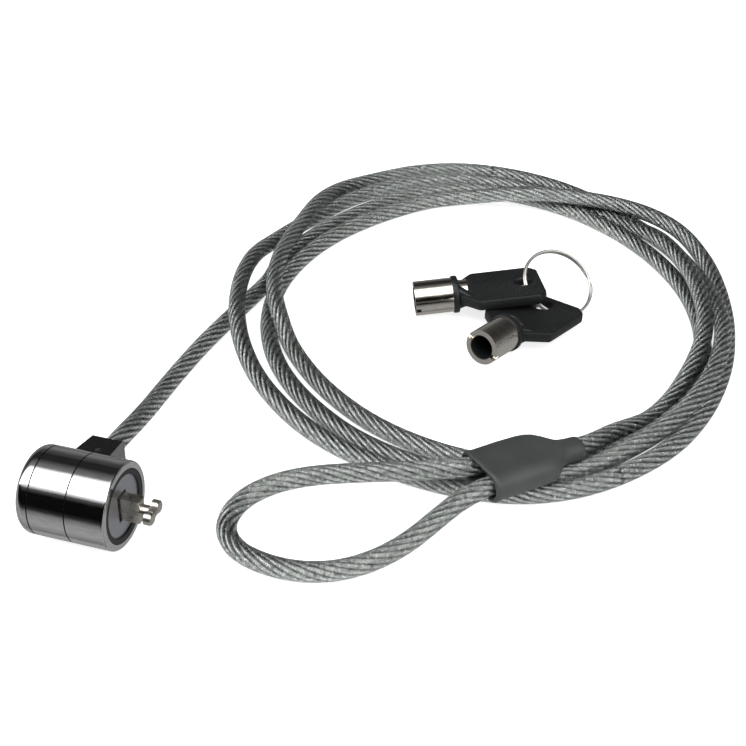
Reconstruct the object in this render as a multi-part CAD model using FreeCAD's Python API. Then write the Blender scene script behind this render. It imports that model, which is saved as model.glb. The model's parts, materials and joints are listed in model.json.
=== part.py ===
"""Laptop cable lock: a tubular-key lock head on a looped steel cable, with its two keys on a ring.

Frame: +X points out of the lock's nose, +Z up, floor at z = 0.  The lock's pieces are drawn on their own
axis, with u measured from the rear face, then lifted onto the floor.  Everything is shifted last, so that
the origin is at the bottom centre of the pieces that are not cable.
"""
import FreeCAD, Part
import math
import os
from FreeCAD import Placement, Rotation, Vector

# ---- driving dimensions, millimetres -------------------------------------------------------------------
HEAD_RADIUS = 9.6
HEAD_LENGTH = 19.8
REAR_FACE = -1.0              # the rear cap's rounded end, behind the cylinder's own face
SEAM = 0.15                   # half the width of each dark seam beside the swivel collar
CORE_RADIUS = 7.9            # zinc core that carries both shells and the swivel collar
SLEEVE_RADIUS = 6.6          # steel sleeve of the key cylinder, outside
CYLINDER_RADIUS = 5.6        # inside of that sleeve
POST_RADIUS = 3.15           # centre post that the tubular key slides over
SPINDLE_RADIUS = 2.0
RUNNING = 0.05               # radial clearance of every running fit
PIN_COUNT = 7
PIN_PITCH_RADIUS = 3.9
PIN_RADIUS = 0.6
COLLAR_START = 2.5           # swivel collar, from the rear face
COLLAR_END = 10.8
SHELL_START = 11.1           # front shell
NOSE_RECESS = 17.6           # floor of the nose's recess
NOSE_DISC_RADIUS = 6.8       # grey disc inside the nose's black ring
SHEAR_PLANE = 6.6            # where the plug ends and the fixed pin chambers begin
HUB_START = 13.0             # square drive hub between the plug and the T-bar
HUB_END = 15.0
PRONG_TIP = 23.8
TBAR_TIP = 27.1
TBAR_LENGTH = 6.4
TBAR_LOBE = 1.45              # radius of each rounded end of the T-bar
TBAR_TURN = 80.0             # how far the T-bar stands turned from the prongs, degrees

CABLE_RADIUS = 2.2
CABLE_EXIT_X = -12.3
LUG_END_Y = 17.3

BOOT_MOUTH = Vector(66.0, 35.3, 8.2)
BOOT_HEADING = 47.6          # degrees, from the eye towards the tail
BOOT_LENGTH = 26.4
STRAND_OFFSET = 3.65         # each of the two strands, from the boot's middle

KEY_BARREL_RADIUS = 4.55
KEY_BORE_RADIUS = 3.25
KEY_BARREL_START = 1.5
KEY_BARREL_LENGTH = 11.5
KEY_COLLAR_RADIUS = 4.95
KEY_LENGTH = 35.4
BOW_WIDTH = 20.2
BOW_THICKNESS = 2.6
KEY_HOLE = Vector(30.6, 0.7, 0)
KEY_HOLE_RADIUS = 3.4
KEY_HOLE_SINK = 0.75          # countersink round the ring hole, wide and deep
KEY_POSES = {                # start of the barrel, then heading, upward tilt and roll in degrees
    "key_a": (Vector(26.3, 111.0, 4.62), 23.5, 4.8, -7.0),
    "key_b": (Vector(50.9, 90.0, 5.92), 70.5, -4.0, 0.0),
}
RING_CENTRE = Vector(62.231, 129.109, 6.495)
RING_RADIUS = 9.565
RING_AXIS = Vector(0.4582, -0.3822, 0.8025)
RING_WIRE = 0.33            # radius of the wire that makes both turns of the split ring

# ---- the cable's route, by hand: lock to coil, coil to boot, and round the eye ---------------------------
LEAD_ROUTE = [
    (-12.3, 15.2, 9.6), (-12.4, 22.0, 9.6), (-12.9, 29.0, 8.4), (-14.6, 40.0, 5.8), (-16.6, 51.0, 3.4),
    (-17.6, 62.0, 2.2), (-17.4, 76.0, 2.2), (-16.2, 91.0, 2.2), (-15.0, 104.0, 2.2),
]
TAIL_ROUTE = [
    (97.6, 84.8, 2.2), (96.3, 78.2, 2.3), (93.0, 72.0, 3.2), (89.2, 66.0, 5.0), (86.6, 59.8, 7.0),
    (83.0, 53.9, 8.1), (79.0, 49.5, 8.2),
]
EYE_ROUTE = [
    (62.5, 37.6, 8.3), (54.7, 34.2, 8.2), (46.5, 31.6, 7.6), (38.7, 29.7, 6.8), (30.2, 27.2, 5.8),
    (22.8, 23.0, 4.7), (17.9, 16.6, 3.4), (17.9, 8.6, 2.5), (23.0, 2.6, 2.2), (30.6, 0.2, 2.2),
    (38.4, 0.2, 2.2), (46.0, 2.9, 2.4), (52.5, 8.1, 3.2), (57.4, 14.5, 4.4), (61.0, 21.5, 6.0),
    (64.5, 27.6, 7.5), (67.2, 31.6, 8.2),
]

# The coil's outline about its centre: the innermost and outermost cable centreline, every 22.5 degrees
# counter-clockwise from +X.
COIL_CENTRE = Vector(45.0, 119.3, 0)
COIL_INNER = [57.4, 54.9, 55.8, 60.2, 62.9, 66.3, 60.6, 57.6, 57.2, 55.8, 55.4, 59.9, 67.8, 68.8, 65.2, 61.6]
COIL_OUTER = [63.2, 63.1, 68.4, 68.0, 79.0, 86.8, 81.0, 66.3, 66.0, 65.6, 68.4, 73.3, 79.7, 84.6, 77.6, 67.9]
COIL_HEIGHT = 9.0            # where turns cross over each other
COIL_LOW_HEIGHT = 4.5        # where the turns lie side by side, under the boot
COIL_LOW_SPAN = (215.0, 312.0)

X_AXIS = Vector(1, 0, 0)
Z_AXIS = Vector(0, 0, 1)


# ---- general shapes ----------------------------------------------------------------------------------------
def tube(start, end, outer, inner=0.0):
    """A round bar or tube on the X axis, between two places on it."""
    bar = Part.makeCylinder(outer, end - start, Vector(start, 0, 0), X_AXIS)
    if inner:
        bar = bar.cut(Part.makeCylinder(inner, end - start, Vector(start, 0, 0), X_AXIS))
    return bar


def joined(pieces):
    body = pieces[0]
    for piece in pieces[1:]:
        body = body.fuse(piece)
    return body.removeSplitter()


def block(x_range, half_y, half_z):
    """A block centred on the X axis."""
    length = x_range[1] - x_range[0]
    return Part.makeBox(length, 2 * half_y, 2 * half_z, Vector(x_range[0], -half_y, -half_z))


def circular_edges(shape, radius, place):
    """Full-circle edges of one radius about the X axis, at one place along it."""
    found = []
    for edge in shape.Edges:
        round_edge = isinstance(edge.Curve, Part.Circle)
        if round_edge and abs(edge.Curve.Radius - radius) < 0.01 and abs(edge.Curve.Center.x - place) < 0.01:
            found.append(edge)
    return found


def around_axis(angle, radius):
    """A point at that angle and distance from the X axis; 90 degrees is straight up."""
    return Vector(0, radius * math.cos(math.radians(angle)), radius * math.sin(math.radians(angle)))


def pin_places():
    return [around_axis(90 + 360.0 * k / PIN_COUNT, PIN_PITCH_RADIUS) for k in range(PIN_COUNT)]


def round_bars(places, radius, starts, end):
    """One bar along X at each place, from its own start to a common end."""
    bars = []
    for place, start in zip(places, starts):
        bars.append(Part.makeCylinder(radius, end - start, place + Vector(start, 0, 0), X_AXIS))
    return bars


# ---- lock head: shells ------------------------------------------------------------------------------------
def rear_cap():
    cap = tube(REAR_FACE, COLLAR_START - 2 * SEAM, HEAD_RADIUS, SLEEVE_RADIUS)
    cap = cap.makeFillet(2.2, circular_edges(cap, HEAD_RADIUS, REAR_FACE))
    return cap.cut(tube(1.4, COLLAR_START, CORE_RADIUS))


def front_shell():
    shell = tube(SHELL_START, HEAD_LENGTH, HEAD_RADIUS, CORE_RADIUS)
    shell = shell.makeFillet(0.6, circular_edges(shell, HEAD_RADIUS, HEAD_LENGTH))
    return shell.cut(tube(NOSE_RECESS, HEAD_LENGTH, CORE_RADIUS + 0.2))


def core_housing():
    core = tube(1.4, NOSE_RECESS, CORE_RADIUS, 1.5)
    core = core.cut(tube(1.4, 12.8, SLEEVE_RADIUS))
    core = core.cut(tube(12.8, HUB_END + 0.2, 4.2))
    core = core.cut(tube(15.8, NOSE_RECESS, 6.3))
    return core.cut(retaining_pin())


def nose_ring():
    ring = tube(NOSE_RECESS, HEAD_LENGTH - 0.1, CORE_RADIUS + 0.2, NOSE_DISC_RADIUS)
    edges = circular_edges(ring, CORE_RADIUS + 0.2, HEAD_LENGTH - 0.1)
    edges += circular_edges(ring, NOSE_DISC_RADIUS, HEAD_LENGTH - 0.1)
    return ring.makeChamfer(0.15, edges)


def nose_plate():
    plate = tube(NOSE_RECESS, 19.3, NOSE_DISC_RADIUS)
    return plate.cut(block((NOSE_RECESS, 19.3), 1.9, 3.2))


def swivel_collar():
    return tube(COLLAR_START, COLLAR_END, HEAD_RADIUS, CORE_RADIUS + RUNNING)


def collar_washer(start):
    return tube(start, start + 2 * SEAM - 0.06, 9.0, CORE_RADIUS + RUNNING)


# ---- lock head: guide prongs and T-bar ----------------------------------------------------------------------
def guide_prongs():
    """Base disc with two prongs, one above and one below the T-bar's shaft."""
    base = tube(15.8, NOSE_RECESS, 6.3)
    prongs = block((15.8, PRONG_TIP), 1.3, 2.7)
    tips = circle_edges_at(prongs, PRONG_TIP)
    prongs = prongs.makeFillet(0.35, tips)
    body = base.fuse(prongs)
    return body.cut(tube(15.8, PRONG_TIP, 1.3 + RUNNING)).removeSplitter()


def circle_edges_at(shape, x):
    """Every edge that lies wholly in the plane at x."""
    found = []
    for edge in shape.Edges:
        box = edge.BoundBox
        if abs(box.XMin - x) < 0.01 and abs(box.XMax - x) < 0.01:
            found.append(edge)
    return found


def tbar_spindle():
    """Shaft with a bow-tie head in front and a square tang behind, turned away from the prongs."""
    shaft = tube(HUB_END, 25.6, 1.3)
    tang = block((HUB_END - 1.0, HUB_END), 0.9, 0.9)
    lobe_centre = TBAR_LENGTH / 2 - TBAR_LOBE
    thickness = TBAR_TIP - 25.4
    lobes = []
    for side in (-1, 1):
        lobes.append(Part.makeCylinder(TBAR_LOBE, thickness, Vector(25.4, 0, side * lobe_centre), X_AXIS))
    waist = block((25.4, TBAR_TIP), 0.85, lobe_centre)
    head = joined([waist] + lobes)
    head = head.makeFillet(0.6, circle_edges_at(head, TBAR_TIP))
    spindle = joined([shaft, tang, head])
    spindle.rotate(Vector(0, 0, 0), X_AXIS, -TBAR_TURN)
    return spindle


def drive_hub():
    hub = tube(HUB_START, HUB_END, 3.9)
    hub = hub.cut(block((HUB_START, 14.0), 1.22, 1.22))
    hub_hole = block((14.0, HUB_END), 0.9, 0.9)
    hub_hole.rotate(Vector(0, 0, 0), X_AXIS, -TBAR_TURN)
    return hub.cut(hub_hole)


# ---- lock head: key cylinder ----------------------------------------------------------------------------------
def cylinder_sleeve():
    """Steel sleeve with a narrow lip at the mouth, notched for the key's locating nib."""
    sleeve = tube(0.5, 12.8, SLEEVE_RADIUS, 4.65)
    sleeve = sleeve.cut(tube(1.5, 12.8, CYLINDER_RADIUS))
    notch = Part.makeBox(1.0, 1.6, 5.4, Vector(0.5, -0.8, 0))
    return sleeve.cut(notch).cut(retaining_pin())


def retaining_pin():
    """Radial pin through core and sleeve into the pin chambers' block, between two chambers."""
    angle = 90 + 180.0 / PIN_COUNT
    direction = around_axis(angle, 1.0)
    return Part.makeCylinder(0.6, CORE_RADIUS - 5.2, around_axis(angle, 5.2) + Vector(9.2, 0, 0), direction)


def plug_rotor():
    disc = tube(3.4, SHEAR_PLANE, CYLINDER_RADIUS - RUNNING)
    post = tube(0.6, 3.4, POST_RADIUS)
    post = post.makeFillet(0.4, circular_edges(post, POST_RADIUS, 0.6))
    spindle = tube(SHEAR_PLANE, 12.5, SPINDLE_RADIUS)
    tang = block((12.5, 13.9), 1.2, 1.2)
    rotor = joined([disc, post, spindle, tang])
    rotor = rotor.cut(tube(12.02, 12.5, SPINDLE_RADIUS + 1, 1.7))
    for hole in round_bars(pin_places(), PIN_RADIUS + RUNNING, [3.4] * PIN_COUNT, SHEAR_PLANE):
        rotor = rotor.cut(hole)
    return rotor


def pin_stator():
    """Fixed block with the seven blind chambers for driver pins and springs."""
    block_start = SHEAR_PLANE + 0.05
    stator = tube(block_start, 11.6, CYLINDER_RADIUS, SPINDLE_RADIUS + RUNNING)
    for hole in round_bars(pin_places(), PIN_RADIUS + RUNNING, [block_start] * PIN_COUNT, 11.0):
        stator = stator.cut(hole)
    return stator.cut(retaining_pin())


def key_pins():
    lengths = (2.3, 2.0, 2.6, 2.1, 2.5, 2.2, 2.4)
    end = SHEAR_PLANE - 0.03
    return round_bars(pin_places(), PIN_RADIUS, [end - length for length in lengths], end)


def driver_pins():
    return round_bars(pin_places(), PIN_RADIUS, [SHEAR_PLANE + 0.08] * PIN_COUNT, 8.25)


def pin_springs():
    """One small helical spring behind each driver pin."""
    wire_radius = 0.1
    coil_radius = 0.42
    start = 8.25 + wire_radius
    springs = []
    for place in pin_places():
        helix = Part.makeHelix(0.55, 11.0 - wire_radius - start, coil_radius)
        section = Part.Wire(Part.makeCircle(wire_radius, Vector(coil_radius, 0, 0), Vector(0, 1, 0)))
        spring = Part.Wire(helix).makePipeShell([section], True, True)
        spring.rotate(Vector(0, 0, 0), Vector(0, 1, 0), 90)
        spring.translate(place + Vector(start, 0, 0))
        springs.append(spring)
    return springs


def thrust_washer():
    return tube(11.62, 12.0, 4.0, SPINDLE_RADIUS + RUNNING)


def c_clip():
    clip = tube(12.04, 12.48, 3.2, 1.7)
    return clip.cut(block((12.0, 12.5), 1.5, 4.0).translated(Vector(0, 2.9, 0)))


# ---- cable lug on the collar --------------------------------------------------------------------------------
def cable_lug():
    """Wedge-faced block behind the collar; only its rear flank slants in."""
    rear_x = COLLAR_START - HEAD_LENGTH
    outline = [(rear_x, 2.0), (rear_x, 9.2), (-15.9, LUG_END_Y), (-8.7, LUG_END_Y), (-8.95, 2.0)]
    wire = Part.makePolygon([Vector(x, y, -3.4) for x, y in outline + outline[:1]])
    lug = Part.Face(wire).extrude(Vector(0, 0, 6.8))
    rims = []
    for edge in lug.Edges:
        box = edge.BoundBox
        if box.YMin > LUG_END_Y - 0.01 and box.ZLength < 0.01:
            rims.append(edge)
    lug = lug.makeChamfer(0.5, rims)
    head = Part.makeCylinder(HEAD_RADIUS, 40, Vector(-30, 0, 0), X_AXIS)
    lug = lug.cut(head)
    crimp_room = Part.makeCylinder(2.8, 5.2, Vector(CABLE_EXIT_X, 10.4, 0), Vector(0, 1, 0))
    cable_room = Part.makeCylinder(CABLE_RADIUS, 4.0, Vector(CABLE_EXIT_X, 14.0, 0), Vector(0, 1, 0))
    return lug.cut(crimp_room).cut(cable_room).cut(lug_rivet())


def lug_rivet():
    """Rivet through lug and crimp, across the cable."""
    return Part.makeCylinder(0.6, 6.8, Vector(CABLE_EXIT_X, 12.2, -3.4), Z_AXIS)


def cable_crimp():
    crimp = Part.makeCylinder(2.8, 4.8, Vector(CABLE_EXIT_X, 10.4, 0), Vector(0, 1, 0))
    bore = Part.makeCylinder(1.5, 4.0, Vector(CABLE_EXIT_X, 11.2, 0), Vector(0, 1, 0))
    return crimp.cut(bore).cut(lug_rivet())


# ---- cable ----------------------------------------------------------------------------------------------------
def rounded_route(name, points):
    """Straight runs joined by tangent arcs, each as large as its two runs allow."""
    nodes = [Vector(*p) for p in points]
    edges = []
    radii = []
    last = nodes[0]
    for before, corner, after in zip(nodes, nodes[1:], nodes[2:]):
        into = corner - before
        out = after - corner
        reach = 0.45 * min(into.Length, out.Length)
        turn = into.getAngle(out)
        radii.append(reach / math.tan(turn / 2))
        into.normalize()
        out.normalize()
        arc_start = corner - into * reach
        arc_end = corner + out * reach
        chord_middle = (arc_start + arc_end) * 0.5
        inward = chord_middle - corner
        inward.normalize()
        middle = corner + inward * (radii[-1] * (1 / math.cos(turn / 2) - 1))
        edges.append(Part.LineSegment(last, arc_start).toShape())
        edges.append(Part.Arc(arc_start, middle, arc_end).toShape())
        last = arc_end
    edges.append(Part.LineSegment(last, nodes[-1]).toShape())
    print(name, "bend radii:", " ".join("%.0f" % r for r in radii))
    return Part.Wire(edges)


def cable_tube(name, points):
    path = rounded_route(name, points)
    first = path.Edges[0]
    direction = first.tangentAt(first.FirstParameter)
    section = Part.Wire(Part.makeCircle(CABLE_RADIUS, Vector(*points[0]), direction))
    solid = path.makePipeShell([section], True, False)
    expected = math.pi * CABLE_RADIUS ** 2 * path.Length
    print(name, "length %.1f, volume / expected %.4f" % (path.Length, solid.Volume / expected))
    return solid


def coil_outline(radii, offset):
    """Smooth closed outline through one radius per sixteenth of a turn."""
    points = []
    for k, radius in enumerate(radii):
        angle = math.radians(360.0 * k / len(radii))
        points.append(COIL_CENTRE + Vector(math.cos(angle), math.sin(angle), 0) * (radius + offset))
    curve = Part.BSplineCurve()
    curve.interpolate(Points=points, PeriodicFlag=True)
    return Part.Face(Part.Wire(curve.toShape()))


def cable_coil():
    """The loose coil as one closed solid of its outer shape."""
    band = coil_outline(COIL_OUTER, CABLE_RADIUS).cut(coil_outline(COIL_INNER, -CABLE_RADIUS))
    coil = band.extrude(Vector(0, 0, COIL_HEIGHT))
    reach = 160.0
    low_wedge = [COIL_CENTRE]
    for share in (0.0, 0.5, 1.0):
        angle = math.radians(COIL_LOW_SPAN[0] + share * (COIL_LOW_SPAN[1] - COIL_LOW_SPAN[0]))
        low_wedge.append(COIL_CENTRE + Vector(math.cos(angle), math.sin(angle), 0) * reach)
    wedge = Part.Face(Part.makePolygon(low_wedge + low_wedge[:1])).extrude(Vector(0, 0, COIL_HEIGHT))
    wedge.translate(Vector(0, 0, COIL_LOW_HEIGHT))
    return coil.cut(wedge)


# ---- boot and crimp that close the eye ------------------------------------------------------------------------
def stadium(place, half_width, half_height):
    """Oval section with round ends, in the plane across the boot's axis."""
    flat = half_width - half_height
    right = Vector(place, flat, 0)
    left = Vector(place, -flat, 0)
    up = Vector(0, 0, half_height)
    side = Vector(0, half_height, 0)
    edges = [
        Part.LineSegment(left + up, right + up).toShape(),
        Part.Arc(right + up, right + side, right - up).toShape(),
        Part.LineSegment(right - up, left - up).toShape(),
        Part.Arc(left - up, left - side, left + up).toShape(),
    ]
    return Part.Wire(edges)


def on_boot(shape):
    """Move a shape drawn on the X axis to the boot's place and heading."""
    shape.Placement = Placement(BOOT_MOUTH, Rotation(Z_AXIS, BOOT_HEADING)).multiply(shape.Placement)
    return shape


def strand_bores(start, end):
    bars = []
    for side in (-1, 1):
        centre = Vector(start, side * STRAND_OFFSET, 0)
        bars.append(Part.makeCylinder(CABLE_RADIUS, end - start, centre, X_AXIS))
    return bars


def crimp_body():
    return Part.Face(stadium(5.0, 6.3, 2.9)).extrude(Vector(10, 0, 0))


def eye_crimp():
    crimp = crimp_body()
    for bore in strand_bores(5.0, 15.0):
        crimp = crimp.cut(bore)
    return on_boot(crimp)


def cable_splice():
    """The two strands side by side inside the crimp."""
    return [on_boot(bar) for bar in strand_bores(4.0, 15.0)]


def eye_boot():
    sections = [(0, 7.1, 3.4), (1.2, 7.5, 3.6), (15.5, 7.4, 3.6), (19.5, 4.6, 3.3), (22.5, 3.35, 3.1)]
    body = Part.makeLoft([stadium(*s) for s in sections], True, True)
    sleeve = Part.makeCylinder(3.1, BOOT_LENGTH - 22.0, Vector(22.0, 0, 0), X_AXIS)
    body = body.fuse(sleeve)
    body = body.cut(crimp_body())
    for bore in strand_bores(-1.0, 5.0):
        body = body.cut(bore)
    tail_bore = Part.makeCylinder(CABLE_RADIUS, 9.0, Vector(19.2, 0, 0), X_AXIS)
    return on_boot(body.cut(tail_bore))


# ---- keys and ring ----------------------------------------------------------------------------------------------
def key_barrel():
    """Steel tube with two end notches and a locating nib; its knurled tail is moulded into the bow."""
    barrel = tube(KEY_BARREL_START, KEY_BARREL_LENGTH, KEY_BARREL_RADIUS, KEY_BORE_RADIUS)
    tail = tube(KEY_BARREL_LENGTH, 15.5, 3.6)
    barrel = joined([barrel, tail])
    for angle in (25, 205):
        notch = Part.makeBox(1.3, 1.2, 6, Vector(KEY_BARREL_START, -0.6, 0))
        notch.rotate(Vector(0, 0, 0), X_AXIS, angle - 90)
        barrel = barrel.cut(notch)
    return barrel


def key_bow():
    """Flat moulded grip with sloped shoulders, a thicker neck and a round collar at the barrel."""
    half = BOW_WIDTH / 2
    outline = [(12.6, -4.3), (17.6, -half), (KEY_LENGTH - 2.0, -half), (KEY_LENGTH, -half + 2.4),
               (KEY_LENGTH, half - 2.4), (KEY_LENGTH - 2.0, half), (17.6, half), (12.6, 4.3)]
    corners = [Vector(x, y, -BOW_THICKNESS / 2) for x, y in outline + outline[:1]]
    plate = Part.Face(Part.makePolygon(corners)).extrude(Vector(0, 0, BOW_THICKNESS))
    upright = [edge for edge in plate.Edges if edge.BoundBox.ZLength > 1 and edge.BoundBox.XMin > 14]
    plate = plate.makeFillet(1.6, upright)
    collar = tube(KEY_BARREL_LENGTH, 13.0, KEY_COLLAR_RADIUS)
    side_view = [(12.6, -3.4), (17.5, -BOW_THICKNESS / 2), (17.5, BOW_THICKNESS / 2), (12.6, 3.4)]
    neck_wire = Part.makePolygon([Vector(x, -4.0, z) for x, z in side_view + side_view[:1]])
    neck = Part.Face(neck_wire).extrude(Vector(0, 8.0, 0))
    bow = joined([plate, collar, neck])
    bow = bow.cut(tube(KEY_BARREL_LENGTH, 15.5, 3.6))
    hole = Part.makeCylinder(KEY_HOLE_RADIUS, 6, KEY_HOLE - Vector(0, 0, 3), Z_AXIS)
    bow = bow.cut(hole)
    for side in (-1, 1):
        face = KEY_HOLE + Vector(0, 0, side * BOW_THICKNESS / 2)
        sink = Part.makeCone(KEY_HOLE_RADIUS + KEY_HOLE_SINK, KEY_HOLE_RADIUS, KEY_HOLE_SINK, face,
                             Vector(0, 0, -side))
        bow = bow.cut(sink)
    return bow


def posed_key(shape, name):
    start, heading, tilt, roll = KEY_POSES[name]
    turn = Rotation(Z_AXIS, heading).multiply(Rotation(Vector(0, 1, 0), -tilt)).multiply(Rotation(X_AXIS, roll))
    shape.Placement = Placement(start, turn).multiply(shape.Placement)
    return shape


def key_ring():
    """Split ring: two turns of round wire lying against each other."""
    axis = Vector(RING_AXIS)
    axis.normalize()
    turns = []
    for side in (-1, 1):
        centre = RING_CENTRE + axis * (side * RING_WIRE * 0.92)
        turns.append(Part.makeTorus(RING_RADIUS, RING_WIRE, centre, axis))
    return turns[0].fuse(turns[1])


# ---- assembly -------------------------------------------------------------------------------------------------
def lock_pieces():
    """Everything drawn about the lock's own axis, with u from the rear face."""
    return {
        "rear_cap": rear_cap(),
        "front_shell": front_shell(),
        "core_housing": core_housing(),
        "nose_ring": nose_ring(),
        "nose_plate": nose_plate(),
        "guide_prongs": guide_prongs(),
        "tbar_spindle": tbar_spindle(),
        "drive_hub": drive_hub(),
        "cylinder_sleeve": cylinder_sleeve(),
        "retaining_pin": retaining_pin(),
        "plug_rotor": plug_rotor(),
        "pin_stator": pin_stator(),
        "key_pins": Part.makeCompound(key_pins()),
        "driver_pins": Part.makeCompound(driver_pins()),
        "pin_springs": Part.makeCompound(pin_springs()),
        "thrust_washer": thrust_washer(),
        "c_clip": c_clip(),
        "swivel_collar": swivel_collar(),
        "rear_washer": collar_washer(COLLAR_START - 2 * SEAM + 0.03),
        "front_washer": collar_washer(COLLAR_END + 0.03),
    }


def lug_pieces():
    """The lug and what it holds, drawn at the lock axis's height."""
    return {"cable_lug": cable_lug(), "lug_rivet": lug_rivet(), "cable_crimp": cable_crimp()}


def key_pieces():
    pieces = {"key_ring": key_ring()}
    for name in KEY_POSES:
        pieces[name + "_barrel"] = posed_key(key_barrel(), name)
        pieces[name + "_bow"] = posed_key(key_bow(), name)
    return pieces


def cable_pieces():
    return {
        "cable_lead": cable_tube("cable_lead", LEAD_ROUTE),
        "cable_coil": cable_coil(),
        "cable_tail": cable_tube("cable_tail", TAIL_ROUTE),
        "cable_splice": Part.makeCompound(cable_splice()),
        "cable_eye": cable_tube("cable_eye", EYE_ROUTE),
        "eye_crimp": eye_crimp(),
        "eye_boot": eye_boot(),
    }


def main():
    pieces = lock_pieces()
    for shape in pieces.values():
        shape.translate(Vector(-HEAD_LENGTH, 0, HEAD_RADIUS))
    lug = lug_pieces()
    for shape in lug.values():
        shape.translate(Vector(0, 0, HEAD_RADIUS))
    pieces.update(lug)
    pieces.update(key_pieces())

    box = FreeCAD.BoundBox()
    for shape in pieces.values():
        box.add(shape.optimalBoundingBox(False, False))
    origin = Vector((box.XMin + box.XMax) / 2, (box.YMin + box.YMax) / 2, 0)
    print("origin in lock coordinates: %.4f %.4f, box %s" % (origin.x, origin.y, box))

    pieces.update(cable_pieces())
    os.makedirs("parts", exist_ok=True)
    for name, shape in pieces.items():
        shape.translate(-origin)
        shape.exportStep("parts/%s.step" % name)
        print("%-16s valid %s, solids %d, volume %.2f" % (name, shape.isValid(), len(shape.Solids), shape.Volume))


main()
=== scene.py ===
"""The laptop cable lock's looks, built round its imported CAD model."""
import json
import math

import bmesh
import bpy
from mathutils import Matrix, Vector


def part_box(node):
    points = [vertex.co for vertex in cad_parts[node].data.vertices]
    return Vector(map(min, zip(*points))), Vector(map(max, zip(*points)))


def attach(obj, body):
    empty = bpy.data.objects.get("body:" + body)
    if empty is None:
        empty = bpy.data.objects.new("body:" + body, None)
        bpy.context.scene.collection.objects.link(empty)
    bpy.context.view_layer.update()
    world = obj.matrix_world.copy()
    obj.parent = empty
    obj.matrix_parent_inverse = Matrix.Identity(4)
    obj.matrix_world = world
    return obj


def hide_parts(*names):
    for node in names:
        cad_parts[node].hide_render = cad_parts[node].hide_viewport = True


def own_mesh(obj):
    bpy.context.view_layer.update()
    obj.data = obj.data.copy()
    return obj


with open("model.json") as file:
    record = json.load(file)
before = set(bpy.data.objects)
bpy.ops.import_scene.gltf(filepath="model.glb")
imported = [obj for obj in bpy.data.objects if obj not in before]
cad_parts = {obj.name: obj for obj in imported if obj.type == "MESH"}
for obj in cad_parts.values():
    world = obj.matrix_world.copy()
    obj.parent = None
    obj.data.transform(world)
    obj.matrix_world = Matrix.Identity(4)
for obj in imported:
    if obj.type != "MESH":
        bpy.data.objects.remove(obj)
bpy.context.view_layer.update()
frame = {"nodes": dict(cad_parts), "record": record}

MM = 0.001

# The point on the floor under the middle of the lock's nose face.
shell_low, shell_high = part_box("front_shell")
NOSE = Vector((shell_high.x, (shell_low.y + shell_high.y) / 2, 0.0))

# The cable: strands twisted round a core painted near black as shade, under a clear jacket.
CABLE_RADIUS = 2.2 * MM
JACKET_WALL = 0.32 * MM
JACKET_SIDES = 20
CORE_RADIUS = 1.05 * MM      # the inner strands, painted near black as the shade that shows between the outer ones
CORE_SIDES = 10
STRAND_COUNT = 8
STRAND_SIDES = 12
STRAND_SWELL = 1.03          # the strands press a little into each other
LAY_LENGTH = 27 * MM         # along the cable, for one turn of a strand
PAINTED_CROWN_PLACE = 0.47           # where round a strand its painted highlight sits: where it faces most outward, just off the middle
WIRES_ROUND_STRAND = 9
WIRE_SPACING = 0.60          # millimetres along the strand from wire to wire
ROUTE_STEP = 1.0 * MM        # between the points that the cable's skin is built on
ROPE_LENGTHS = 3             # the rope is made in this many pieces, end to end


def from_nose(x, y, z):
    """A point given in millimetres from the floor under the nose."""
    return NOSE + Vector((x, y, z)) * MM


# ---- the cable's route ---------------------------------------------------------------------------
# All in millimetres from the floor under the nose.
LEAD_ROUTE = [
    (-12.3, 15.2, 9.6), (-12.4, 22.0, 9.6), (-12.9, 29.0, 8.4), (-14.6, 40.0, 5.8), (-16.6, 51.0, 3.4),
    (-17.6, 62.0, 2.2), (-17.4, 76.0, 2.2), (-16.2, 91.0, 2.2), (-15.0, 104.0, 2.2), (-14.2, 113.0, 2.2),
]
TAIL_ROUTE = [
    (96.3, 78.2, 2.5), (93.0, 72.0, 3.7), (89.2, 66.0, 5.0), (86.8, 59.6, 6.4), (83.1, 54.0, 7.2),
    (79.0, 49.5, 8.0),
]
EYE_ROUTE = [
    (72.0, 46.6, 8.2), (66.9, 41.6, 8.2), (62.5, 37.6, 8.3), (54.7, 34.2, 8.2), (46.5, 31.6, 7.6),
    (38.7, 29.7, 6.8), (30.2, 27.2, 5.8), (22.8, 23.0, 4.7), (17.9, 16.6, 3.4), (17.9, 8.6, 2.5),
    (23.0, 2.6, 2.2), (30.6, 0.2, 2.2), (38.4, 0.2, 2.2), (46.0, 2.9, 2.4), (52.5, 8.1, 3.2),
    (57.4, 14.5, 4.4), (61.0, 21.5, 6.0), (64.5, 27.6, 7.5), (68.6, 32.8, 8.2), (72.8, 37.4, 8.2),
]
COIL_CENTRE = (45.0, 119.3)
COIL_START = 180.0           # degrees; the turns run clockwise from the coil's left
COIL_TURNS = 3.607           # the last stretch bends away into the tail
COIL_STEP = 10.0             # degrees between the route's points
SIXTEENTH = 22.5             # degrees
# Each turn's radius at sixteenths of a turn.
TURN_RADII = [
    (60.2, 62.0, 66.4, 72.3, 66.8, 59.8, 55.6, 54.9, 57.4, 64.0, 71.2, 74.8, 67.8, 59.9, 55.4, 55.8),
    (58.6, 65.5, 81.0, 86.8, 79.2, 67.6, 62.8, 59.9, 62.2, 67.2, 74.8, 80.0, 75.3, 66.9, 60.9, 57.2),
    (56.0, 57.2, 60.6, 66.3, 62.9, 66.9, 68.2, 63.4, 63.5, 68.9, 78.5, 85.2, 79.7, 73.3, 68.4, 65.6),
    (66.0, 67.6, 75.6, 79.2, 72.8, 63.8, 58.7, 56.2, 57.6, 61.4, 67.4, 70.0),
]
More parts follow.
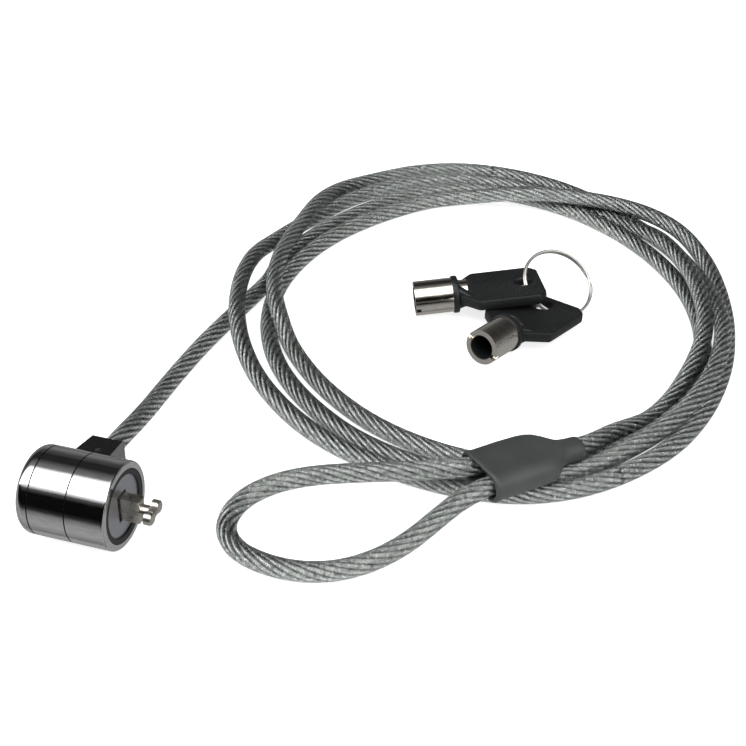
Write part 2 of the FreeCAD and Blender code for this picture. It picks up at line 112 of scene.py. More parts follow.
# Where the cable climbs over its own turns: degrees of travel from the coil's start, and the height.
HUMPS = [
    (0, 2.2), (318, 2.2), (332, 6.0), (352, 6.8), (392, 6.8), (408, 2.6), (450, 2.2), (505, 2.2),
    (517, 4.4), (538, 6.4), (565, 6.4), (592, 4.8), (604, 2.3), (795, 2.2), (803, 5.5), (808, 6.8),
    (846, 6.8), (854, 4.5), (862, 2.4), (1008, 2.2), (1030, 3.8), (1049, 6.6), (1076, 6.7),
    (1092, 4.4), (1116, 2.2), (1186, 2.2), (1198, 4.2), (1212, 6.4), (1236, 6.9), (1264, 6.5),
    (1282, 5.4), (1292, 3.2), (1298, 2.4), (1310, 2.4),
]


def between(table, place):
    """The value at a place, eased between neighbouring entries of (place, value)."""
    for (start, low), (end, high) in zip(table, table[1:]):
        if place <= end:
            share = max(0.0, (place - start) / (end - start))
            return low + (high - low) * share * share * (3 - 2 * share)
    return table[-1][1]


def coil_radius(travel):
    """Radius after that many degrees of travel, through the sixteenths by a smooth cubic."""
    radii = [r for turn in TURN_RADII for r in turn]
    place = travel / SIXTEENTH
    k = min(int(place), len(radii) - 2)
    share = place - k
    before = radii[max(k - 1, 0)]
    after = radii[min(k + 2, len(radii) - 1)]
    low, high = radii[k], radii[k + 1]
    slope_low, slope_high = (high - before) / 2, (after - low) / 2
    cube, square = share ** 3, share ** 2
    return (low * (2 * cube - 3 * square + 1) + slope_low * (cube - 2 * square + share)
            + high * (3 * square - 2 * cube) + slope_high * (cube - square))


def coil_points():
    """The loose coil, turn by turn."""
    points = []
    for k in range(int(COIL_TURNS * 360 / COIL_STEP) + 1):
        travel = k * COIL_STEP
        angle = math.radians(COIL_START - travel)
        radius = coil_radius(travel)
        points.append((COIL_CENTRE[0] + radius * math.cos(angle),
                       COIL_CENTRE[1] + radius * math.sin(angle), between(HUMPS, travel)))
    return points


def smooth_line(name, points):
    """The points' NURBS curve, read back as a list of points along it."""
    curve = bpy.data.curves.new(name, "CURVE")
    curve.dimensions = "3D"
    spline = curve.splines.new("NURBS")
    spline.points.add(len(points) - 1)
    for slot, place in zip(spline.points, points):
        slot.co = (*from_nose(*place), 1.0)
    spline.order_u = 3
    spline.use_endpoint_u = True
    spline.resolution_u = 6
    holder = bpy.data.objects.new(name, curve)
    mesh = bpy.data.meshes.new_from_object(holder)
    line = [Vector(v.co) for v in mesh.vertices]
    bpy.data.objects.remove(holder)
    bpy.data.meshes.remove(mesh)
    return line


def evenly(line, step):
    """Points at even distances along a line, and its length."""
    lengths = [0.0]
    for a, b in zip(line, line[1:]):
        lengths.append(lengths[-1] + (b - a).length)
    total = lengths[-1]
    count = max(2, round(total / step))
    points = []
    k = 0
    for n in range(count + 1):
        place = total * n / count
        while k < len(line) - 2 and lengths[k + 1] < place:
            k += 1
        share = (place - lengths[k]) / max(lengths[k + 1] - lengths[k], 1e-12)
        points.append(line[k].lerp(line[k + 1], min(1.0, share)))
    return points, total


def carried_frames(points):
    """Each point with two sideways directions, carried along without twist."""
    frames = []
    side = None
    for k, point in enumerate(points):
        ahead = points[min(k + 1, len(points) - 1)]
        behind = points[max(k - 1, 0)]
        tangent = (ahead - behind).normalized()
        if side is None:
            side = tangent.orthogonal().normalized()
        side = (side - tangent * side.dot(tangent)).normalized()
        frames.append((point, side, tangent.cross(side)))
    return frames


# ---- mesh helpers --------------------------------------------------------------------------------
def around(count):
    """Angles evenly round a full turn."""
    return [2 * math.pi * k / count for k in range(count)]


def new_piece(name, vertices, faces, smooth=True):
    """A mesh object in the scene."""
    mesh = bpy.data.meshes.new(name)
    mesh.from_pydata([tuple(v) for v in vertices], [], faces)
    mesh.validate()
    if smooth:
        mesh.polygons.foreach_set("use_smooth", [True] * len(mesh.polygons))
    piece = bpy.data.objects.new(name, mesh)
    bpy.context.scene.collection.objects.link(piece)
    return piece


def swept(rings, looped=False):
    """Vertices and faces of a closed skin over rings of equal size."""
    sides = len(rings[0])
    vertices = [v for ring in rings for v in ring]
    faces = []
    spans = len(rings) if looped else len(rings) - 1
    for k in range(spans):
        base, following = k * sides, ((k + 1) % len(rings)) * sides
        for s in range(sides):
            t = (s + 1) % sides
            faces.append((base + s, base + t, following + t, following + s))
    if not looped:
        faces.append(tuple(reversed(range(sides))))
        faces.append(tuple(range(len(vertices) - sides, len(vertices))))
    return vertices, faces


def ring_about(point, side, up, radius, sides):
    """A circle of points in the plane of two directions."""
    return [point + side * (radius * math.cos(turn)) + up * (radius * math.sin(turn))
            for turn in around(sides)]


def round_tube(name, points, radius, sides):
    rings = [ring_about(point, side, up, radius, sides) for point, side, up in carried_frames(points)]
    return new_piece(name, *swept(rings))


def add_part(vertices, faces, more_vertices, more_faces):
    """Adds a closed skin to the lists that one piece is made from."""
    base = len(vertices)
    vertices += more_vertices
    faces += [tuple(i + base for i in face) for face in more_faces]


def wire_rope(name, frames, start_length):
    """The outer strands of the rope, twisted round its line.

    The UV map "strand" holds the millimetres along the cable, and the share of a turn round the strand.
    """
    share = math.sin(math.pi / STRAND_COUNT)
    outer = CABLE_RADIUS - JACKET_WALL
    strand_radius = outer * share / (1 + share)
    lay_radius = outer - strand_radius
    vertices, faces, places = [], [], []
    for strand in range(STRAND_COUNT):
        line, travels = [], []
        travelled = start_length
        for k, (point, side, up) in enumerate(frames):
            if k:
                travelled += (point - frames[k - 1][0]).length
            turn = 2 * math.pi * (strand / STRAND_COUNT + travelled / LAY_LENGTH)
            line.append(point + side * (lay_radius * math.cos(turn))
                        + up * (lay_radius * math.sin(turn)))
            travels.append(travelled)
        rings = []
        for k, (point, _, _) in enumerate(frames):
            inward = (point - line[k]).normalized()
            along = (line[min(k + 1, len(line) - 1)] - line[max(k - 1, 0)]).normalized()
            across = along.cross(inward).normalized()
            rings.append(ring_about(line[k], inward, across, strand_radius * STRAND_SWELL, STRAND_SIDES))
            places += [(travels[k] / MM, s / STRAND_SIDES) for s in range(STRAND_SIDES)]
        add_part(vertices, faces, *swept(rings))
    rope = new_piece(name, vertices, faces)
    layer = rope.data.uv_layers.new(name="strand")
    corners = [0] * len(rope.data.loops)
    rope.data.loops.foreach_get("vertex_index", corners)
    layer.data.foreach_set("uv", [value for corner in corners for value in places[corner]])
    return rope


# ---- materials -----------------------------------------------------------------------------------
def material(name):
    made = bpy.data.materials.new(name)
    made.use_nodes = True
    return made, made.node_tree.nodes, made.node_tree.links, made.node_tree.nodes["Principled BSDF"]


def set_shader(shader, **values):
    for key, value in values.items():
        shader.inputs[key.replace("_", " ")].default_value = value


def noise(nodes, links, scale, detail, stretch=(1, 1, 1)):
    """Noise in the object's own metres, stretched where asked."""
    place = nodes.new("ShaderNodeTexCoord")
    mapping = nodes.new("ShaderNodeMapping")
    mapping.inputs["Scale"].default_value = stretch
    texture = nodes.new("ShaderNodeTexNoise")
    texture.inputs["Scale"].default_value = scale
    texture.inputs["Detail"].default_value = detail
    links.new(place.outputs["Object"], mapping.inputs["Vector"])
    links.new(mapping.outputs["Vector"], texture.inputs["Vector"])
    return texture.outputs["Fac"]


def maths(nodes, links, operation, *values):
    """A maths node fed with numbers or with other nodes' outputs."""
    made = nodes.new("ShaderNodeMath")
    made.operation = operation
    for k, value in enumerate(values):
        if isinstance(value, (int, float)):
            made.inputs[k].default_value = value
        else:
            links.new(value, made.inputs[k])
    return made.outputs[0]


def ramp(nodes, links, value, stops):
    """A colour ramp through (place, colour) stops."""
    made = nodes.new("ShaderNodeValToRGB")
    for element, (place, colour) in zip(made.color_ramp.elements, stops[:2]):
        element.position = place
        element.color = (*colour, 1)
    for place, colour in stops[2:]:
        element = made.color_ramp.elements.new(place)
        element.color = (*colour, 1)
    links.new(value, made.inputs["Fac"])
    return made.outputs["Color"]


def grey(value):
    return (value, value, value)


def bump(nodes, links, shader, height, strength, distance):
    made = nodes.new("ShaderNodeBump")
    made.inputs["Strength"].default_value = strength
    made.inputs["Distance"].default_value = distance
    links.new(height, made.inputs["Height"])
    links.new(made.outputs["Normal"], shader.inputs["Normal"])


def metal(name, colour, rough_low, rough_high, scale, stretch=(1, 1, 1), dents=0.0):
    """Plated or bare metal whose gloss varies with fine handling marks."""
    made, nodes, links, shader = material(name)
    set_shader(shader, Metallic=1.0)
    marks = noise(nodes, links, scale, 6.0, stretch)
    darker = tuple(c * 0.86 for c in colour)
    links.new(ramp(nodes, links, marks, [(0.3, darker), (0.7, colour)]), shader.inputs["Base Color"])
    links.new(ramp(nodes, links, marks, [(0.35, grey(rough_low)), (0.75, grey(rough_high))]),
              shader.inputs["Roughness"])
    if dents:
        bump(nodes, links, shader, marks, dents, 0.00005)
    return made


def chrome():
    """Mirror plating with faint orange-peel and a few hairlines."""
    made, nodes, links, shader = material("polished_chrome")
    set_shader(shader, Metallic=1.0)
    peel = noise(nodes, links, 420.0, 3.0)
    marks = noise(nodes, links, 1500.0, 8.0, (0.25, 1, 1))
    links.new(ramp(nodes, links, marks, [(0.2, (0.70, 0.705, 0.71)), (0.6, (0.86, 0.865, 0.87))]),
              shader.inputs["Base Color"])
    links.new(ramp(nodes, links, marks, [(0.45, grey(0.045)), (0.8, grey(0.12))]),
              shader.inputs["Roughness"])
    bump(nodes, links, shader, peel, 0.10, 0.00012)
    return made


def clear_jacket():
    """Clear soft plastic over the rope, faintly scuffed."""
    made, nodes, links, shader = material("cable_jacket")
    set_shader(shader, IOR=1.42, Transmission_Weight=1.0)
    scuff = noise(nodes, links, 700.0, 5.0)
    links.new(ramp(nodes, links, scuff, [(0.3, (0.80, 0.82, 0.81)), (0.7, (0.95, 0.96, 0.955))]),
              shader.inputs["Base Color"])
    links.new(ramp(nodes, links, scuff, [(0.4, grey(0.08)), (0.75, grey(0.2))]),
              shader.inputs["Roughness"])
    return made


def rope_steel():
    """Galvanised strands with fine wires twisted round each, with a painted highlight on each strand's
    outward crown, painted shade on its inner side and painted glints along the fine wires.
    """
    made, nodes, links, shader = material("cable_rope")
    set_shader(shader, Metallic=1.0)
    place = nodes.new("ShaderNodeUVMap")
    place.uv_map = "strand"
    split = nodes.new("ShaderNodeSeparateXYZ")
    links.new(place.outputs["UV"], split.inputs["Vector"])
    along = maths(nodes, links, "MULTIPLY", split.outputs["X"], 2 * math.pi / WIRE_SPACING)
    round_it = maths(nodes, links, "MULTIPLY", split.outputs["Y"],
                     2 * math.pi * WIRES_ROUND_STRAND)
    wire = maths(nodes, links, "SINE", maths(nodes, links, "SUBTRACT", along, round_it))
    # painted light round each strand: bright on the outward crown, dark on the inner side where the
    # strands shade each other
    painted_crown_light = maths(nodes, links, "COSINE", maths(nodes, links, "MULTIPLY_ADD", split.outputs["Y"],
                                                2 * math.pi, -2 * math.pi * PAINTED_CROWN_PLACE))
    spangle = noise(nodes, links, 1300.0, 4.0)
    # the base colour mixes galvanised spangle with painted glints along the fine wires and the painted
    # crown light
    height = maths(nodes, links, "MULTIPLY_ADD", wire, 0.13, spangle)
    height = maths(nodes, links, "MULTIPLY_ADD", painted_crown_light, 0.25, height)
    links.new(ramp(nodes, links, height, [(0.30, (0.085, 0.090, 0.088)), (0.60, (0.38, 0.397, 0.386)),
                                          (0.93, (0.95, 0.97, 0.95))]), shader.inputs["Base Color"])
    links.new(ramp(nodes, links, spangle, [(0.3, grey(0.36)), (0.7, grey(0.22))]),
              shader.inputs["Roughness"])
    bump(nodes, links, shader, wire, 0.6, 0.00006)
    return made


def shade_painted_core():
    """Inner strands painted near black as the shade between the outer strands, and dull."""
    made, nodes, links, shader = material("rope_core_painted_shade")
    set_shader(shader, Metallic=0.6, Roughness=0.6)
    spangle = noise(nodes, links, 1200.0, 4.0)
    links.new(ramp(nodes, links, spangle, [(0.35, (0.012, 0.014, 0.013)), (0.7, (0.06, 0.065, 0.062))]),
              shader.inputs["Base Color"])
    return made


def moulded(name, low, high, roughness, grain=1500.0, strength=0.15):
    """Moulded plastic or rubber with a fine grain."""
    made, nodes, links, shader = material(name)
    texture = noise(nodes, links, grain, 5.0)
    cloud = noise(nodes, links, 90.0, 3.0)
    links.new(ramp(nodes, links, cloud, [(0.3, low), (0.7, high)]), shader.inputs["Base Color"])
    links.new(ramp(nodes, links, texture, [(0.3, grey(roughness)), (0.8, grey(roughness + 0.12))]),
              shader.inputs["Roughness"])
    bump(nodes, links, shader, texture, strength, 0.00008)
    return made


def make_materials():
    """One material for each of the record's slots, by the slot's name."""
    return {
        "polished_chrome": chrome(),
        "lug_chrome": metal("lug_chrome", (0.42, 0.42, 0.43), 0.10, 0.2, 700.0),
        "cast_zinc": metal("cast_zinc", (0.55, 0.56, 0.57), 0.35, 0.5, 1200.0, dents=0.3),
        "black_plastic": moulded("black_plastic", (0.006, 0.006, 0.007), (0.012, 0.012, 0.013), 0.35),
        "satin_steel": metal("satin_steel", (0.60, 0.61, 0.66), 0.34, 0.48, 2600.0, dents=0.1),
        "nickel_drive": metal("nickel_drive", (0.84, 0.80, 0.72), 0.26, 0.42, 1100.0, dents=0.08),
        "bare_steel": metal("bare_steel", (0.52, 0.52, 0.52), 0.25, 0.4, 1600.0, (1, 0.2, 0.2)),
        "spring_steel": metal("spring_steel", (0.42, 0.42, 0.44), 0.2, 0.35, 1600.0),
        "brass": metal("brass", (0.74, 0.56, 0.28), 0.22, 0.38, 1300.0, (1, 0.2, 0.2)),
        "cable_jacket": clear_jacket(),
        "cable_rope": rope_steel(),
        "crimp_aluminium": metal("crimp_aluminium", (0.72, 0.72, 0.73), 0.3, 0.45, 900.0, dents=0.2),
        "boot_rubber": moulded("boot_rubber", (0.046, 0.052, 0.049), (0.062, 0.069, 0.066), 0.42),
        "ring_nickel": metal("ring_nickel", (0.84, 0.82, 0.78), 0.34, 0.46, 500.0),
        "key_nickel": metal("key_nickel", (0.93, 0.89, 0.81), 0.09, 0.17, 900.0, (0.3, 1, 1),
                            dents=0.04),
        "key_plastic": moulded("key_plastic", (0.006, 0.0072, 0.0075), (0.010, 0.0115, 0.012), 0.42,
                               grain=1200.0, strength=0.1),
    }


def dress_cad_nodes(materials):
    """Each CAD node in its own slot's material."""
    for row in frame["record"]["subparts"]:
        node = frame["nodes"][row["node"]]
        node.data.materials.clear()
        node.data.materials.append(materials[row["material_slot"]])


def let_springs_shorten():
    """Gives the pin springs a copy of their mesh of their own."""
    springs = frame["nodes"]["pin_springs"]
    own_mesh(springs)


def finished(piece, body, slot, materials):
    """Gives a piece its material, its body and its slot, and hands it back."""
    piece.data.materials.append(materials[slot])
    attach(piece, body)
    return piece


# ---- cable ---------------------------------------------------------------------------------------
def make_cable(materials):
    """The whole cable along one route: jacket, rope, core and boot."""
    route = LEAD_ROUTE + coil_points() + TAIL_ROUTE + EYE_ROUTE
    line = smooth_line("cable_line", route)
    points, length = evenly(line, ROUTE_STEP)
    jacket = round_tube("cable_jacket", points, CABLE_RADIUS, JACKET_SIDES)
    finished(jacket, "cable", "cable_jacket", materials)
    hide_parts("cable_lead", "cable_coil", "cable_tail", "cable_eye", "cable_splice")
    stretch = math.ceil(len(points) / ROPE_LENGTHS)
    frames = carried_frames(points)
    step = length / (len(points) - 1)
    for n, start in enumerate(range(0, len(points) - 1, stretch)):
        rope = wire_rope("cable_rope_%d" % (n + 1), frames[start:start + stretch + 1], start * step)
        finished(rope, "cable", "cable_rope", materials)
    core = round_tube("cable_core", points[::2] + points[-1:], CORE_RADIUS, CORE_SIDES)
    # the core's near-black colour is painted shade between the outer strands
    core.data.materials.append(shade_painted_core())
    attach(core, "cable")
    boot = make_boot(materials)


# ---- boot over the eye's crimp -------------------------------------------------------------------
OVAL_SIDES = 48
BOOT_MOUTH = (66.0, 35.3, 8.2)
BOOT_HEADING = math.radians(47.6)
# Place along the boot, half width and half height of its oval section: from inside the mouth, over the
# lip and back to the tail's end.
BOOT_SECTIONS = [
    (3.4, 4.6, 1.3), (3.2, 6.2, 2.45), (1.2, 6.55, 2.72), (0.25, 6.62, 2.8), (0.0, 6.75, 2.92),
    (-0.06, 6.95, 3.12), (0.0, 7.25, 3.4), (0.25, 7.5, 3.64), (0.75, 7.62, 3.74), (1.3, 7.55, 3.66),
    (1.9, 7.46, 3.58), (8.0, 7.5, 3.6), (13.0, 7.42, 3.6), (15.0, 7.2, 3.58), (16.6, 6.6, 3.52),
    (18.0, 5.4, 3.42), (19.2, 4.2, 3.25), (20.2, 3.4, 3.05), (21.4, 3.0, 2.85), (23.4, 2.92, 2.8),
    (24.6, 2.98, 2.84), (25.7, 3.02, 2.86), (26.1, 2.95, 2.78), (26.3, 2.75, 2.58), (26.3, 2.3, 2.24),
    (24.5, 2.22, 2.22),
]
BOOT_BEND_START = 8.0        # from here on the boot bends down with the tail
BOOT_BEND_LENGTH = 18.4
BOOT_DROP = 1.5              # how much lower the boot's axis is after that length


def oval(half_width, half_height):
    """Points of an oval with straight sides and round ends, evenly by angle."""
    flat = half_width - half_height
    points = []
    for turn in around(OVAL_SIDES):
        shift = flat if math.cos(turn) > 0 else -flat
        if abs(math.cos(turn)) < 1e-6:
            shift = 0.0
        points.append((shift + half_height * math.cos(turn), half_height * math.sin(turn)))
    return points


def make_boot(materials):
    """The moulded boot over the eye's crimp."""
    heading = Vector((math.cos(BOOT_HEADING), math.sin(BOOT_HEADING), 0))
    across = Vector((-heading.y, heading.x, 0))
    mouth = from_nose(*BOOT_MOUTH)
    rings = []
    for place, half_width, half_height in BOOT_SECTIONS:
        drop = BOOT_DROP * (max(0.0, place - BOOT_BEND_START) / BOOT_BEND_LENGTH) ** 2
        centre = mouth + heading * (place * MM) - Vector((0, 0, drop * MM))
        rings.append([centre + across * (a * MM) + Vector((0, 0, b * MM))
                      for a, b in oval(half_width, half_height)])
    boot = new_piece("boot_shell", *swept(rings))
    tidy_normals(boot, 50)
    finished(boot, "cable", "boot_rubber", materials)
    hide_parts("eye_boot")
    return boot


# ---- keys and their ring -------------------------------------------------------------------------
# Each key's start in millimetres from the nose, then its heading, upward tilt and roll in degrees.
KEY_POSES = {
    "key_a": ((26.3, 111.0, 4.62), 23.5, 4.8, -7.0),
    "key_b": ((50.9, 90.0, 5.92), 70.5, -4.0, 0.0),
}
HOLE_CENTRE = (30.6, 0.7)
HOLE_RADIUS = 2.5
BOW_HALF = 1.28              # half the grip's thickness
BOW_CORNER = 1.5
BOW_OUTLINE = [(13.0, -4.3), (17.6, -10.1), (33.4, -10.1), (35.4, -7.7), (35.4, 7.7), (33.4, 10.1),
               (17.6, 10.1), (13.0, 4.3)]
KEY_SIDES = 40               # round the collar and the bore
# Place along the key and radius of the moulded collar on the barrel.
COLLAR_SECTIONS = [(11.5, 4.2), (11.5, 4.7), (11.62, 4.88), (11.85, 4.95), (12.7, 4.95), (12.95, 4.85),
                   (13.1, 4.6), (13.1, 3.0)]
# Place along the key, half width and half height of the neck that swells from collar to grip.
NECK_SECTIONS = [(12.6, 4.1, 3.3), (13.4, 4.3, 3.2), (14.2, 4.7, 2.75), (15.2, 5.6, 2.1),
                 (16.2, 7.0, 1.65), (17.2, 8.2, 1.35), (18.2, 9.0, 1.2), (19.4, 8.8, 1.1)]
NECK_POWER = 0.55            # 1 gives an oval, less pushes it out towards its corners
# The moulded core that fills the barrel and leaves its dark hollow end: place and radius.
BORE_SECTIONS = [(11.4, 1.0), (11.4, 3.22), (1.75, 3.22), (1.7, 3.1), (2.6, 3.0), (9.0, 2.95),
                 (9.0, 0.4)]
# The ribs across the grip's faces.
RIB_START = (17.5, 0.0)
RIB_PITCH = 0.66
RIB_LEAN = math.radians(68.0)
RIB_LINES = range(-30, 60)   # counted from the start; those that miss the grip give no rib
RIB_HALF_WIDTH = 0.24
RIB_SINK = 0.05              # its foot is this far inside the face
RIB_RISE = 0.07
RIB_TO_EDGE = 1.15
RIB_TO_HOLE = 0.95
RIB_SHORTEST = 0.8
# The split ring. Turns are counted along its wire, in full turns.
RING_CENTRE = (62.231, 129.109, 6.495)
RING_RADIUS = 9.565
RING_AXIS = Vector((0.4582, -0.3822, 0.8025)).normalized()
RING_WIRE = 0.38             # the wire's radius
RING_STEPS = 288
RING_SIDES = 10
RING_COVER = 0.985           # share of two full turns
RING_STEP_START = 0.93
RING_STEP_LENGTH = 0.12
RING_HALF_GAP = 0.96         # from the middle to each turn's line, in wire radii


def key_matrix(name):
    """From a key's own millimetres, along its barrel from the open end, to its place."""
    start, heading, tilt, roll = KEY_POSES[name]
    turn = (Matrix.Rotation(math.radians(heading), 4, "Z")
            @ Matrix.Rotation(math.radians(-tilt), 4, "Y")
            @ Matrix.Rotation(math.radians(roll), 4, "X"))
    return Matrix.Translation(from_nose(*start)) @ turn @ Matrix.Scale(MM, 4)


def rounded_outline(corners, radius, arc_steps=6, side_steps=14):
    """A closed outline with its corners rounded and its sides divided evenly."""
    points = []
    count = len(corners)
    trimmed = []
    for k in range(count):
        corner = Vector(corners[k])
        before = (Vector(corners[k - 1]) - corner).normalized()
        after = (Vector(corners[(k + 1) % count]) - corner).normalized()
        opening = before.angle(after)
        reach = radius / math.tan(opening / 2)
        start, end = corner + before * reach, corner + after * reach
        arc = []
        for s in range(arc_steps + 1):
            t = s / arc_steps
            arc.append(start * (1 - t) ** 2 + corner * (2 * t * (1 - t)) + end * t ** 2)
        trimmed.append(arc)
    for k in range(count):
        points += trimmed[k]
        start, end = trimmed[k][-1], trimmed[(k + 1) % count][0]
        points += [start.lerp(end, s / side_steps) for s in range(1, side_steps)]
    return points


def inset(outline, distance):
    """The outline drawn in by a distance, each point along its own inward normal."""
    count = len(outline)
    drawn = []
    for k, point in enumerate(outline):
        along = (outline[(k + 1) % count] - outline[k - 1]).normalized()
        drawn.append(point + Vector((-along.y, along.x)) * distance)
    return drawn


def grip_rings():
    """Rings round the grip: up the ring hole, out over the face, down the edge and back."""
    outline = rounded_outline(BOW_OUTLINE, BOW_CORNER)
    centre = Vector(HOLE_CENTRE)
    towards = [(p - centre).normalized() for p in outline]

    def hole(radius, height):
        return [(*(centre + way * radius), height) for way in towards]

    def edge(distance, height):
        return [(*p, height) for p in inset(outline, distance)]

    # The hole's rounded mouth, the flat face, its slightly raised rim and the rounded outer edge.
    top = [hole(HOLE_RADIUS, BOW_HALF - 0.6), hole(HOLE_RADIUS + 0.25, BOW_HALF - 0.2),
           hole(HOLE_RADIUS + 0.65, BOW_HALF), edge(1.0, BOW_HALF), edge(0.85, BOW_HALF + 0.05),
           edge(0.45, BOW_HALF + 0.05), edge(0.15, BOW_HALF), edge(0.0, BOW_HALF - 0.25)]
    under = [[(x, y, -z) for x, y, z in ring] for ring in reversed(top)]
    return top + [edge(-0.06, 0.0)] + under + [hole(HOLE_RADIUS, 0.0)]


def rib_spans():
    """Each rib's two ends on the grip's face, clear of rim and ring hole, and the way across them."""
    corners = inset(rounded_outline(BOW_OUTLINE, BOW_CORNER, arc_steps=2, side_steps=2), RIB_TO_EDGE)
    along = Vector((math.cos(RIB_LEAN), math.sin(RIB_LEAN)))
    across = Vector((along.y, -along.x))
    centre = Vector(HOLE_CENTRE)
    spans = []
    for k in RIB_LINES:
        origin = Vector(RIB_START) + across * (k * RIB_PITCH)
        low, high = -40.0, 40.0          # well past the grip both ways, then cut back by each side
        for a, b in zip(corners, corners[1:] + corners[:1]):
            side = b - a
            if side.length < 1e-6:
                continue
            inward = Vector((-side.y, side.x)).normalized()
            rate, gap = along.dot(inward), (origin - a).dot(inward)
            if abs(rate) < 1e-9:
                if gap < 0:
                    low, high = 1.0, 0.0
            elif rate > 0:
                low = max(low, -gap / rate)
            else:
                high = min(high, -gap / rate)
        pieces = [(low, high)]
        nearest = (centre - origin).dot(along)
        miss = (origin + along * nearest - centre).length
        keep_off = HOLE_RADIUS + RIB_TO_HOLE
        if miss < keep_off:
            half = math.sqrt(keep_off ** 2 - miss ** 2)
            pieces = [(low, min(high, nearest - half)), (max(low, nearest + half), high)]
        spans += [(origin + along * a, origin + along * b) for a, b in pieces if b - a > RIB_SHORTEST]
    return spans, across


def turned(sections):
    """Rings round the key's axis from (place, radius) pairs."""
    return [[(u, r * math.cos(a), r * math.sin(a)) for a in around(KEY_SIDES)] for u, r in sections]


def make_grip(name, materials):
    """A key's moulded grip with its collar, neck and ribs, and the moulding inside its barrel."""
    vertices, faces = [], []
    add_part(vertices, faces, *swept(grip_rings(), looped=True))
    add_part(vertices, faces, *swept(turned(COLLAR_SECTIONS)))
    neck = [[(u, a, b) for a, b in squarish(w, h)] for u, w, h in NECK_SECTIONS]
    add_part(vertices, faces, *swept(neck))
    spans, across = rib_spans()
    for side in (-1, 1):
        for start, end in spans:
            rib = []
            for place in (start, end):
                half = across * RIB_HALF_WIDTH
                foot, crest = side * (BOW_HALF - RIB_SINK), side * (BOW_HALF + RIB_RISE)
                rib.append([(*(place - half), foot), (*place, crest), (*(place + half), foot)][::side])
            add_part(vertices, faces, *swept(rib))
    placing = key_matrix(name)
    grip = new_piece(name + "_grip", [placing @ Vector(v) for v in vertices], faces)
    tidy_normals(grip, 32)
    finished(grip, name, "key_plastic", materials)
    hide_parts(name + "_bow")
    vertices, faces = swept(turned(BORE_SECTIONS))
    bore = new_piece(name + "_bore", [placing @ Vector(v) for v in vertices], faces)
    tidy_normals(bore, 40)
    finished(bore, name, "key_plastic", materials)


def squarish(half_width, half_height):
    """Points of the neck's section."""
    points = []
    for a in around(OVAL_SIDES):
        c, s = math.cos(a), math.sin(a)
        points.append((half_width * math.copysign(abs(c) ** NECK_POWER, c),
                       half_height * math.copysign(abs(s) ** NECK_POWER, s)))
    return points


def tidy_normals(piece, sharp_degrees):
    """Turns every face outward, and keeps edges sharper than that angle crisp."""
    mesh = bmesh.new()
    mesh.from_mesh(piece.data)
    bmesh.ops.recalc_face_normals(mesh, faces=mesh.faces)
    mesh.to_mesh(piece.data)
    mesh.free()
    piece.data.set_sharp_from_angle(angle=math.radians(sharp_degrees))


def make_ring(materials):
    """The split ring: its wire goes round nearly twice, and steps across half way."""
    side = RING_AXIS.orthogonal().normalized()
    up = RING_AXIS.cross(side)
    centre = from_nose(*RING_CENTRE)
    rings = []
    for k in range(RING_STEPS + 1):
        turn = 2 * 2 * math.pi * k / RING_STEPS * RING_COVER
        step_over = (turn - 2 * math.pi * RING_STEP_START) / (2 * math.pi * RING_STEP_LENGTH)
        step_over = min(1.0, max(0.0, step_over))
        step_over = step_over * step_over * (3 - 2 * step_over)
        offset = RING_WIRE * RING_HALF_GAP * (2 * step_over - 1)
        outward = side * math.cos(turn) + up * math.sin(turn)
        place = centre + outward * (RING_RADIUS * MM) + RING_AXIS * (offset * MM)
        taper = min(1.0, 0.55 + 0.15 * min(k, RING_STEPS - k))      # the wire's ends are rounded off
        rings.append(ring_about(place, outward, RING_AXIS, RING_WIRE * MM * taper, RING_SIDES))
    ring = new_piece("split_ring", *swept(rings))
    tidy_normals(ring, 60)
    finished(ring, "key_ring", "ring_nickel", materials)
    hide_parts("key_ring")


# ---- stage, light and camera ---------------------------------------------------------------------
FLOOR_HALF = 30.0            # metres: past where a low view would see its end
FLOOR_DROP = 0.1 * MM        # keeps it clear of the undersides
CAMERA_PLACE = (126.6, -212.9, 193.5)
CAMERA_HEADING = (-0.3223, 0.9466)
CAMERA_PITCH = math.radians(32.0)
CAMERA_LENS = 70.84


def make_floor():
    """A plain white sheet under everything."""
    corners = [(-FLOOR_HALF, -FLOOR_HALF, 0), (FLOOR_HALF, -FLOOR_HALF, 0),
               (FLOOR_HALF, FLOOR_HALF, 0), (-FLOOR_HALF, FLOOR_HALF, 0)]
    floor = new_piece("floor", corners, [(0, 1, 2, 3)], smooth=False)
    floor.location.z = -FLOOR_DROP
    made, _, _, shader = material("floor")
    set_shader(shader, Base_Color=(0.82, 0.82, 0.82, 1), Roughness=0.9, Specular_IOR_Level=0.0)
    set_shader(shader, Emission_Color=(1, 1, 1, 1), Emission_Strength=0.78)
    floor.data.materials.append(made)
    floor.visible_glossy = False         # polished metal mirrors the studio, not the sheet under it


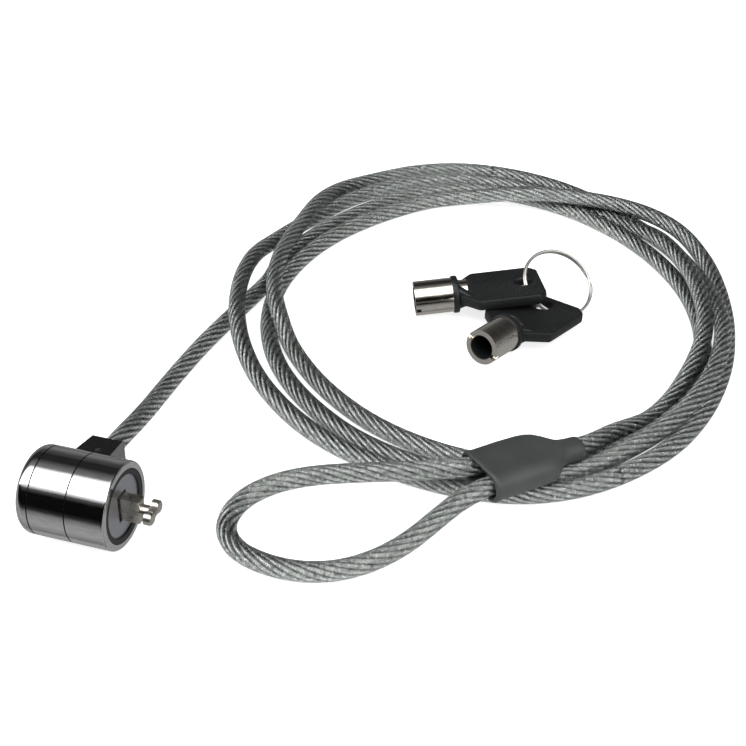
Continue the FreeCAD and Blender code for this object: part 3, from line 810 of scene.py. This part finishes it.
# Degrees from overhead, towards the front above zero, and the studio's brightness there. The two ends
# come first.
STUDIO_BANDS = [
    (-180, 0.34), (180, 0.17), (-120, 0.30), (-96, 0.14), (-82, 0.20), (-64, 0.07), (-46, 0.02),
    (-28, 0.02), (-17, 0.11), (-4, 0.22), (2, 1.2), (10, 2.9), (44, 2.9), (48, 1.0), (56, 0.08),
    (66, 0.004), (98, 0.004), (108, 0.03), (117, 0.20), (128, 0.30), (150, 0.35),
]


def make_world():
    """A studio round the object: one long window overhead, dark walls and a grey surround below."""
    world = bpy.data.worlds.new("studio")
    bpy.context.scene.world = world
    world.use_nodes = True
    nodes, links = world.node_tree.nodes, world.node_tree.links
    place = nodes.new("ShaderNodeTexCoord")
    split = nodes.new("ShaderNodeSeparateXYZ")
    links.new(place.outputs["Generated"], split.inputs["Vector"])
    front = maths(nodes, links, "MULTIPLY", split.outputs["Y"], -1.0)
    angle = maths(nodes, links, "ARCTAN2", front, split.outputs["Z"])
    share = nodes.new("ShaderNodeMapRange")
    share.inputs["From Min"].default_value = -math.pi
    share.inputs["From Max"].default_value = math.pi
    links.new(angle, share.inputs["Value"])
    stops = [((degrees + 180) / 360, grey(level)) for degrees, level in STUDIO_BANDS]
    background = nodes["Background"]
    links.new(ramp(nodes, links, share.outputs["Result"], stops), background.inputs["Color"])
    background.inputs["Strength"].default_value = 1.0


def make_camera():
    """The photograph's viewpoint: where it stands, the way it looks and its lens."""
    camera = bpy.data.cameras.new("camera")
    camera.lens = CAMERA_LENS
    camera.sensor_width = 36.0
    holder = bpy.data.objects.new("camera", camera)
    bpy.context.scene.collection.objects.link(holder)
    holder.location = from_nose(*CAMERA_PLACE)
    level = math.cos(CAMERA_PITCH)
    view = Vector((CAMERA_HEADING[0] * level, CAMERA_HEADING[1] * level, -math.sin(CAMERA_PITCH)))
    holder.rotation_mode = "QUATERNION"
    holder.rotation_quaternion = view.to_track_quat("-Z", "Y")
    camera.clip_start = 0.01
    camera.clip_end = 20.0
    bpy.context.scene.camera = holder


make_camera()
materials = make_materials()
dress_cad_nodes(materials)
let_springs_shorten()
make_cable(materials)
make_grip("key_a", materials)
make_grip("key_b", materials)
make_ring(materials)
make_floor()
make_world()
bpy.context.scene.view_settings.view_transform = "Standard"
